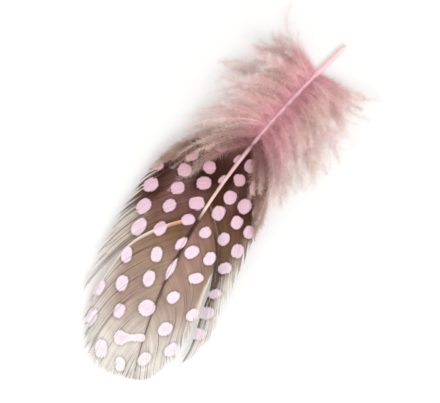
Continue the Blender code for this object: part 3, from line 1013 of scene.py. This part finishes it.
class Nodes:
    """A short way to write a material's nodes."""

    def __init__(self, name):
        self.material = bpy.data.materials.new(name)
        self.material.use_nodes = True
        self.tree = self.material.node_tree
        self.shader = self.tree.nodes["Principled BSDF"]

    def feed(self, socket, source):
        """A number or colour is set on the socket itself, and another node's output is linked to it."""
        if isinstance(source, bpy.types.NodeSocket):
            self.tree.links.new(source, socket)
        else:
            socket.default_value = source

    def new(self, kind, *sources):
        """A new node, with the sources fed to its first sockets."""
        node = self.tree.nodes.new("ShaderNode" + kind)
        for socket, source in zip(node.inputs, sources):
            self.feed(socket, source)
        return node

    def put(self, name, source):
        self.feed(self.shader.inputs[name], source)

    def value(self, name):
        node = self.new("Attribute")
        node.attribute_name = name
        return node.outputs["Fac"]

    def ramp(self, source, stops):
        node = self.new("ValToRGB", source)
        elements = node.color_ramp.elements
        while len(elements) < len(stops):
            elements.new(0.5)
        for element, (position, *colour) in zip(elements, stops):
            element.position = position
            element.color = srgb(*colour)
        return node.outputs["Color"]

    def remap(self, source, low, high, to_low=0.0, to_high=1.0):
        return self.new("MapRange", source, low, high, to_low, to_high).outputs["Result"]

    def maths(self, operation, *sources):
        node = self.new("Math", *sources)
        node.operation = operation
        return node.outputs["Value"]

    def mix(self, share, first, second, blend="MIX"):
        """Two colours mixed. None goes over 1, or the surface would give off more light than it gets."""
        node = self.new("Mix", share)
        node.data_type = "RGBA"
        node.blend_type = blend
        node.clamp_result = True
        self.feed(node.inputs[6], first)
        self.feed(node.inputs[7], second)
        return node.outputs[2]

    def shaded(self, colour, shade):
        """A colour made lighter or darker by a number."""
        grey = self.new("CombineColor", shade, shade, shade)
        return self.mix(1.0, colour, grey.outputs["Color"], "MULTIPLY")

    def from_ridge(self):
        """How far a place on a ribbon is from its middle, up to 0.5 at its edges."""
        return self.maths("ABSOLUTE", self.maths("SUBTRACT", self.value("across"), 0.5))

    def chevrons(self):
        """The fine slanting lines of the barbules on both sides of each barb, as a bump."""
        phase = self.maths("SUBTRACT", self.value("run"), self.maths("MULTIPLY", self.from_ridge(), 0.5))
        wave = self.maths("SINE", self.maths("MULTIPLY", phase, 2 * math.pi / BARBULE_SPACING))
        bump = self.new("Bump", CHEVRON_STRENGTH, CHEVRON_DEPTH)
        self.feed(bump.inputs["Height"], wave)
        self.put("Normal", bump.outputs["Normal"])

    def noise(self, scale, detail):
        node = self.new("TexNoise", self.new("TexCoord").outputs["Object"])
        node.inputs["Scale"].default_value = scale
        node.inputs["Detail"].default_value = detail
        return node.outputs["Fac"]


def vane_material():
    """Brown barbs that pale towards the tip and the margin, with pinkish white spots."""
    made = Nodes("vane")
    thin = made.value("thin")
    spot = made.value("spot")
    along = made.value("along")
    base = made.ramp(along, VANE_COLOURS)
    rosy = made.remap(made.value("rose"), 0.55, 1.0, 0.0, 0.45)
    base = made.mix(rosy, base, made.mix(0.6, base, ROSY_PATCH))
    base = made.mix(made.maths("MULTIPLY", thin, 0.85), base, PALE_END)
    shade = made.remap(made.value("tone"), -0.5, 1.0, 0.35, 1.28)
    shade = made.maths("MULTIPLY", shade, made.remap(made.noise(420, 3), 0.3, 0.7, 0.92, 1.08))
    # Each barb is a little darker along its ridge, and each spot has a darker ring around it.
    shade = made.maths("MULTIPLY", shade, made.remap(made.from_ridge(), 0.0, 0.3, 0.86, 1.0))
    shade = made.maths("MULTIPLY", shade, made.remap(spot, 0.05, 0.6, 0.72, 1.0))
    base = made.shaded(base, shade)
    bare = made.mix(made.remap(made.value("run"), 6.2, 8.2), BARE_ROOT, BARE_BARB)
    base = made.mix(made.value("bare"), base, bare)
    inside = made.remap(spot, -0.16, 0.08, 1.0, 0.0)
    pale = made.ramp(along, SPOT_COLOURS)
    pale = made.mix(made.remap(spot, -1.4, -0.6, 0.4, 0.0), pale, SPOT_MIDDLE)
    # Spots take the barbs' tone, with the painted shade of the dark barbs and split lips in it.
    pale = made.shaded(pale, made.remap(made.value("tone"), -0.4, 0.5, 0.72, 1.0))
    made.put("Base Color", made.mix(inside, base, pale))
    made.chevrons()
    made.put("Roughness", 0.55)
    made.put("Specular IOR Level", 0.08)
    return made.material


def shaft_material():
    """Glossy pink horn that turns brown halfway up the vane."""
    made = Nodes("shaft")
    base = made.ramp(made.value("along"), SHAFT_COLOURS)
    base = made.shaded(base, made.remap(made.noise(900, 2), 0.3, 0.7, 0.92, 1.06))
    inside = made.remap(made.value("spot"), -0.1, 0.1, 1.0, 0.0)
    made.put("Base Color", made.mix(inside, base, SPOT_ON_SHAFT))
    made.put("Roughness", 0.32)
    made.put("Specular IOR Level", 0.30)
    made.put("Coat Weight", 0.06)
    return made.material


def down_material():
    """Soft down: pink at the shaft, rose with undyed patches further out, and pale tips."""
    made = Nodes("down")
    reach = made.value("reach")
    pink = made.ramp(reach, DOWN_COLOURS)
    undyed = made.remap(made.noise(95, 2), 0.46, 0.62, 0.0, 0.6)
    undyed = made.maths("MULTIPLY", undyed, made.remap(reach, 0.10, 0.55))
    pink = made.mix(undyed, pink, UNDYED_DOWN)
    brown = made.ramp(reach, VANE_BASE_COLOURS)
    base = made.mix(made.value("brown"), pink, brown)
    patches = made.remap(made.noise(170, 3), 0.35, 0.65, 0.84, 1.08)
    per_barb = made.remap(made.value("tone"), 0, 1.4, 0.82, 1.30)
    made.put("Base Color", made.shaded(base, made.maths("MULTIPLY", patches, per_barb)))
    made.put("Roughness", 0.8)
    made.put("Specular IOR Level", 0.2)
    return made.material


def make_floor():
    """A plain white floor."""
    mesh = bpy.data.meshes.new("floor")
    corners = [(x * FLOOR_HALF, y * FLOOR_HALF, 0) for x, y in ((-1, -1), (1, -1), (1, 1), (-1, 1))]
    mesh.from_pydata(corners, [], [(0, 1, 2, 3)])
    paper = Nodes("paper")
    paper.put("Base Color", PAPER)
    paper.put("Emission Color", WHITE)
    paper.put("Emission Strength", PAPER_GLOW)
    paper.put("Roughness", 0.9)
    mesh.materials.append(paper.material)
    new_object("floor", mesh)


def make_light():
    """A bright white room and one soft lamp."""
    world = bpy.data.worlds.new("soft_room")
    world.use_nodes = True
    room = world.node_tree.nodes["Background"].inputs
    room["Color"].default_value = WHITE
    room["Strength"].default_value = ROOM_LIGHT
    bpy.context.scene.world = world
    light = bpy.data.lights.new("softbox", "AREA")
    light.shape = "RECTANGLE"
    light.size = LAMP_SIZE
    light.size_y = LAMP_SIZE
    light.energy = LAMP_WATTS
    lamp = new_object("softbox", light)
    lamp.location = LAMP_AT
    x, y, z = np.subtract(LAMP_AIMS_AT, LAMP_AT)
    lamp.rotation_euler = (math.atan2(math.hypot(x, y), -z), 0.0, math.atan2(x, -y) + math.pi)
    bpy.context.scene.view_settings.view_transform = "Standard"


def make_camera():
    """Straight above, turned so that the feather lies as in the photograph: tip at the lower left."""
    camera = bpy.data.cameras.new("camera")
    camera.lens = LENS
    camera.sensor_width = SENSOR_WIDTH
    holder = new_object("camera", camera)
    holder.location = CAMERA_AT
    holder.rotation_euler = (0, 0, CAMERA_TURN)
    bpy.context.scene.camera = holder


def main():
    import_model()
    spots = all_spots()
    barbs_look = vane_material()
    down_look = down_material()
    pieces = [make_vane(side, spots, barbs_look) for side in VANES]
    pieces.append(make_shaft(spots))
    for name, sign in (("down_left", 1), ("down_right", -1)):
        courses = [(lock_course, number, sign) for number in range(LOCKS_PER_SIDE)]
        courses += [(vane_base_course, number, sign) for number in range(BASE_TUFTS)]
        pieces.append(make_down(name, courses, down_look))
    both = [(afterfeather_course, number, sign) for sign in (1, -1) for number in range(AFTERFEATHER_LOCKS)]
    pieces.append(make_down("afterfeather", both, down_look))
    for piece in pieces:
        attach(piece, "root")
        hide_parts("feather")
    make_floor()
    make_light()
    make_camera()


main()
